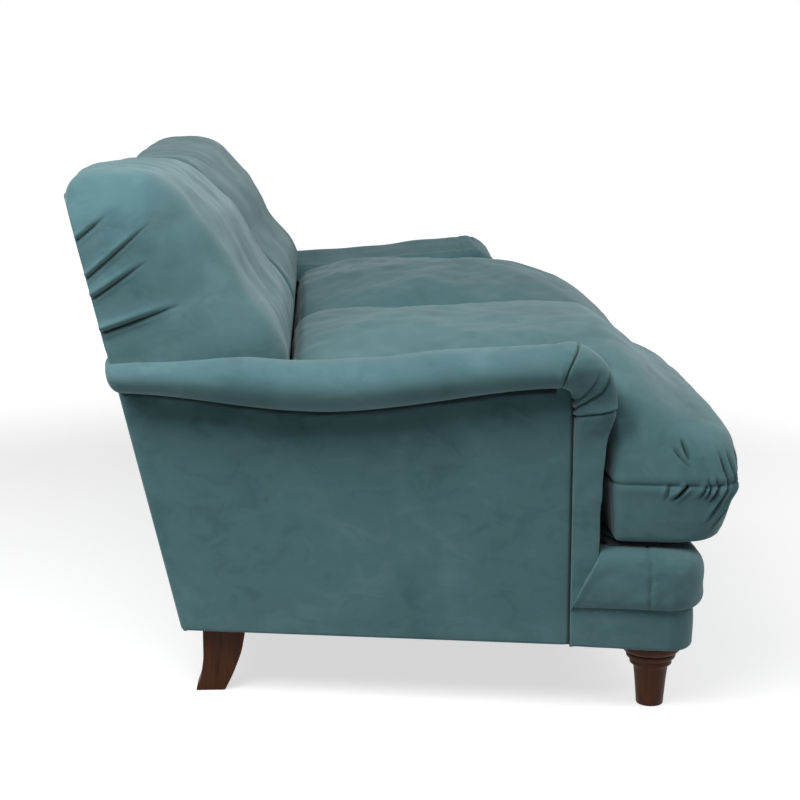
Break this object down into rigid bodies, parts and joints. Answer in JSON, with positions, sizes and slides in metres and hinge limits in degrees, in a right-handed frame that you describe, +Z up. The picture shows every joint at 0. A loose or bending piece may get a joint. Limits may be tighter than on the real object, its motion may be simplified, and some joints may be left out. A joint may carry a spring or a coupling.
{
  "type": "english roll arm sofa",
  "caption": "Two-seat English roll arm sofa with low sloping scroll arms, plump back sections, loose feather seat cushions and short dark legs; for sitting and lounging.",
  "frame": {"origin": "centre of the footprint's box on the floor", "axes": "+Z up, -Y towards the front of the seat, +X along the length to the right arm"},
  "size_m": [1.9768, 1.0974, 0.882],
  "materials": {
    "velvet": "matte",
    "leg_wood": "satin",
    "frame_wood": "matte",
    "steel": "satin",
    "calico": "matte",
    "black_cloth": "matte"
  },
  "bodies": {
    "sofa": {"inner_arm_left": "velvet", "outside_arm_left": "velvet", "arm_roll_left": "velvet", "arm_facing_left": "velvet", "lip_return_left": "velvet", "border_return_left": "velvet", "back_pad_left": "velvet", "side_rail_left": "frame_wood", "front_corner_post_left": "frame_wood", "arm_post_left": "frame_wood", "arm_board_left": "frame_wood", "back_post_left": "frame_wood", "back_lower_rail_left": "frame_wood", "front_leg_block_left": "frame_wood", "rear_leg_block_left": "frame_wood", "front_leg_left": "leg_wood", "rear_leg_left": "leg_wood", "front_leg_bolt_left": "steel", "rear_leg_bolt_left": "steel", "spring_set_left": "steel", "back_webbing_left": "calico", "inner_arm_right": "velvet", "outside_arm_right": "velvet", "arm_roll_right": "velvet", "arm_facing_right": "velvet", "lip_return_right": "velvet", "border_return_right": "velvet", "back_pad_right": "velvet", "side_rail_right": "frame_wood", "front_corner_post_right": "frame_wood", "arm_post_right": "frame_wood", "arm_board_right": "frame_wood", "back_post_right": "frame_wood", "back_lower_rail_right": "frame_wood", "front_leg_block_right": "frame_wood", "rear_leg_block_right": "frame_wood", "front_leg_right": "leg_wood", "rear_leg_right": "leg_wood", "front_leg_bolt_right": "steel", "rear_leg_bolt_right": "steel", "spring_set_right": "steel", "back_webbing_right": "calico", "front_rail": "frame_wood", "rear_rail": "frame_wood", "centre_stretcher": "frame_wood", "back_centre_post": "frame_wood", "back_top_rail": "frame_wood", "spring_clip_front": "steel", "spring_clip_rear": "steel", "seat_platform": "calico", "front_lip": "velvet", "front_border": "velvet", "outside_back": "velvet", "dust_cover": "black_cloth"},
    "seat_cushion_left": {"seat_cushion_left": "velvet", "zip_tape_left": "black_cloth"},
    "zip_slider_left": {"zip_slider_left": "steel"},
    "seat_cushion_right": {"seat_cushion_right": "velvet", "zip_tape_right": "black_cloth"},
    "zip_slider_right": {"zip_slider_right": "steel"}
  },
  "joints": [
    {"name": "cushion_lift_left", "type": "slide", "parent": "sofa", "child": "seat_cushion_left", "axis": [0, -0.866, 0.5], "range_m": [0, 0.9]},
    {"name": "zip_run_left", "type": "slide", "parent": "seat_cushion_left", "child": "zip_slider_left", "axis": [1, 0, 0], "range_m": [0, 0.587]},
    {"name": "cushion_lift_right", "type": "slide", "parent": "sofa", "child": "seat_cushion_right", "axis": [0, -0.866, 0.5], "range_m": [0, 0.9]},
    {"name": "zip_run_right", "type": "slide", "parent": "seat_cushion_right", "child": "zip_slider_right", "axis": [-1, 0, 0], "range_m": [0, 0.587]}
  ]
}
